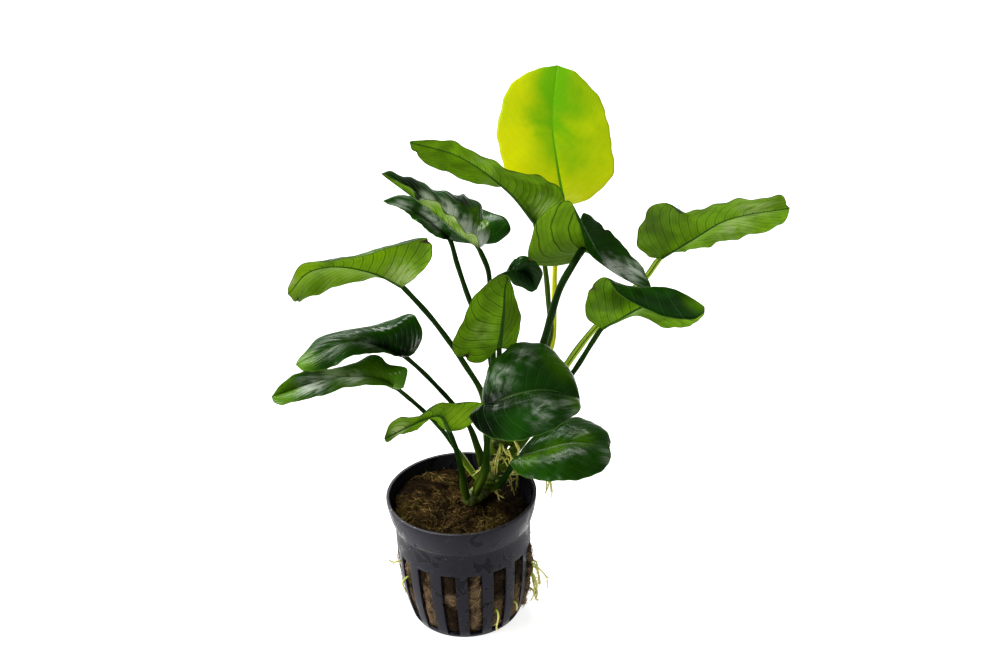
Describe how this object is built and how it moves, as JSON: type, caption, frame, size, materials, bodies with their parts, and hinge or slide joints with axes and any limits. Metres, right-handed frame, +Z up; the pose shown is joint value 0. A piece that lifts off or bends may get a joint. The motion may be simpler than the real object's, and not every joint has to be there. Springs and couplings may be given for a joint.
{
  "type": "potted anubias",
  "caption": "Small broad-leaved aquatic plant rooted in a fibrous plug, standing in a round slotted black net pot.",
  "frame": {"origin": "centre of the pot's flat foot", "axes": "+Z up; -Y is the side the lowest round leaves lean towards; +X is the side of the longest leaf"},
  "size_m": [0.1831, 0.0997, 0.1912],
  "materials": {
    "pot_black": "injection-moulded charcoal plastic, satin, wet in places",
    "plug_brown": "brown fibrous growing plug, damp, with dark pits and loose fibres",
    "rhizome_green": "olive-green creeping stem with leaf scars, matt",
    "stalk_green": "smooth fleshy leaf stalk, green to yellow-green, semi-gloss",
    "leaf_green": "leathery leaf, deep green and glossy above, paler olive and veined below",
    "leaf_yellow": "ageing yellow leaf with green patches along the midrib, glossy",
    "root_cream": "cream to yellow-green aerial root, semi-gloss"
  },
  "bodies": {
    "root": {"pot": "pot_black", "plug": "plug_brown", "rhizome": "rhizome_green", "leaf_01": "leaf_yellow", "leaf_02": "leaf_green", "leaf_03": "leaf_green", "leaf_04": "leaf_green", "leaf_05": "leaf_green", "leaf_06": "leaf_green", "leaf_07": "leaf_green", "leaf_08": "leaf_green", "leaf_09": "leaf_green", "leaf_10": "leaf_green", "leaf_11": "leaf_green", "leaf_12": "leaf_green", "leaf_13": "leaf_green", "leaf_14": "leaf_green", "stem_01": "stalk_green", "stem_02": "stalk_green", "stem_03": "stalk_green", "stem_04": "stalk_green", "stem_05": "stalk_green", "stem_06": "stalk_green", "stem_07": "stalk_green", "stem_08": "stalk_green", "stem_09": "stalk_green", "stem_10": "stalk_green", "stem_11": "stalk_green", "stem_12": "stalk_green", "stem_13": "stalk_green", "stem_14": "stalk_green", "root_01": "root_cream", "root_02": "root_cream", "root_03": "root_cream", "root_04": "root_cream", "root_05": "root_cream", "root_06": "root_cream", "root_07": "root_cream", "root_08": "root_cream", "root_09": "root_cream", "root_10": "root_cream", "root_11": "root_cream", "root_12": "root_cream", "root_13": "root_cream", "root_14": "root_cream", "root_15": "root_cream", "root_16": "root_cream", "root_17": "root_cream"}
  },
  "joints": []
}
